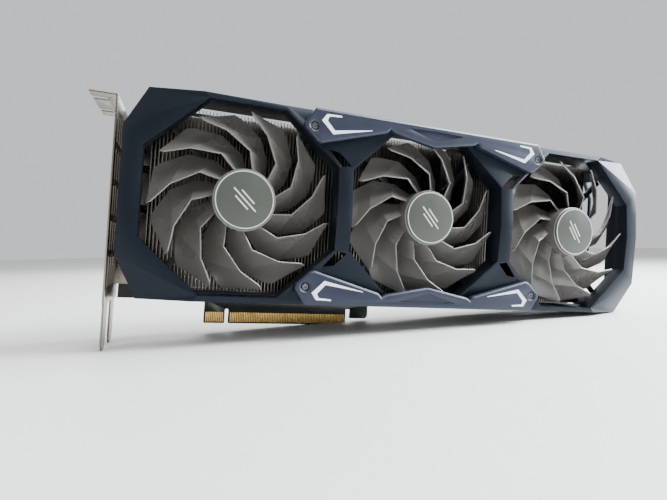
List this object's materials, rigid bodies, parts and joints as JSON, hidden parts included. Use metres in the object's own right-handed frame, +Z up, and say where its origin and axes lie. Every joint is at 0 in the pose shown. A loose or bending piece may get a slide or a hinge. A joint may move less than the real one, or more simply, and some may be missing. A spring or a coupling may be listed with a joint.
{
  "type": "graphics card",
  "caption": "Long graphics card with a row of axial fans in a faceted shroud over a finned cooler, on a keyed board with a slotted metal bracket.",
  "frame": {"origin": "centre of the lower edge of the long contact tongue, in the middle of the board's thickness", "axes": "+X along the card away from the bracket, +Y out of the backplate so that the fans face -Y, +Z up from the contacts to the top edge"},
  "size_m": [0.3283, 0.0571, 0.1248],
  "materials": {
    "shroud_plastic": "fine texture, satin",
    "trim_plastic": "fine texture, satin",
    "white_paint": "satin paint",
    "fan_plastic": "satin, slightly translucent",
    "cap_film": "satin film with a light ring",
    "black_plastic": "moulded",
    "nickel_plate": "nickel plated sheet",
    "fin_aluminium": "bare sheet",
    "plated_copper": "plated copper",
    "contact_gold": "gold plated",
    "solder_mask": "satin solder mask",
    "silicon": "polished",
    "backplate_paint": "fine texture paint",
    "screw_steel": "blackened steel"
  },
  "bodies": {
    "card": {"back_long_contacts": "contact_gold", "back_short_contacts": "contact_gold", "backplate": "backplate_paint", "bracket": "nickel_plate", "choke_bank": "black_plastic", "circuit_board": "solder_mask", "cold_plate": "plated_copper", "cooler_screw_1": "screw_steel", "cooler_screw_2": "screw_steel", "cooler_screw_3": "screw_steel", "cooler_screw_4": "screw_steel", "end_fin_stack": "fin_aluminium", "front_long_contacts": "contact_gold", "front_short_contacts": "contact_gold", "gpu_die": "silicon", "gpu_package": "solder_mask", "hdmi_port": "nickel_plate", "heat_pipe_1": "plated_copper", "heat_pipe_2": "plated_copper", "heat_pipe_3": "plated_copper", "heat_pipe_4": "plated_copper", "heat_pipe_5": "plated_copper", "heat_pipe_6": "plated_copper", "left_fan_bearing": "plated_copper", "left_fan_stator": "plated_copper", "left_motor_base": "black_plastic", "lower_display_port": "nickel_plate", "lower_trim": "trim_plastic", "lower_trim_left_screw": "screw_steel", "lower_trim_right_screw": "screw_steel", "main_fin_stack": "fin_aluminium", "memory_chip_1": "black_plastic", "memory_chip_2": "black_plastic", "memory_chip_3": "black_plastic", "memory_chip_4": "black_plastic", "memory_chip_5": "black_plastic", "memory_chip_6": "black_plastic", "middle_display_port": "nickel_plate", "middle_fan_bearing": "plated_copper", "middle_fan_stator": "plated_copper", "middle_motor_base": "black_plastic", "power_socket_1": "black_plastic", "power_socket_2": "black_plastic", "right_fan_bearing": "plated_copper", "right_fan_stator": "plated_copper", "right_motor_base": "black_plastic", "shroud": "shroud_plastic", "upper_display_port": "nickel_plate", "upper_trim": "trim_plastic", "upper_trim_left_screw": "screw_steel", "upper_trim_right_screw": "screw_steel"},
    "left_fan": {"left_fan_rotor": "fan_plastic", "left_fan_cap": "cap_film", "left_fan_shaft": "screw_steel"},
    "middle_fan": {"middle_fan_rotor": "fan_plastic", "middle_fan_cap": "cap_film", "middle_fan_shaft": "screw_steel"},
    "right_fan": {"right_fan_rotor": "fan_plastic", "right_fan_cap": "cap_film", "right_fan_shaft": "screw_steel"}
  },
  "joints": [
    {"name": "left_fan_spin", "type": "hinge", "parent": "card", "child": "left_fan", "pos_m": [-0.03598, -0.0475, 0.0663], "axis": [0, -1, 0], "continuous": true},
    {"name": "middle_fan_spin", "type": "hinge", "parent": "card", "child": "middle_fan", "pos_m": [0.06452, -0.0475, 0.0663], "axis": [0, -1, 0], "continuous": true},
    {"name": "right_fan_spin", "type": "hinge", "parent": "card", "child": "right_fan", "pos_m": [0.16503, -0.0475, 0.0663], "axis": [0, -1, 0], "continuous": true}
  ]
}
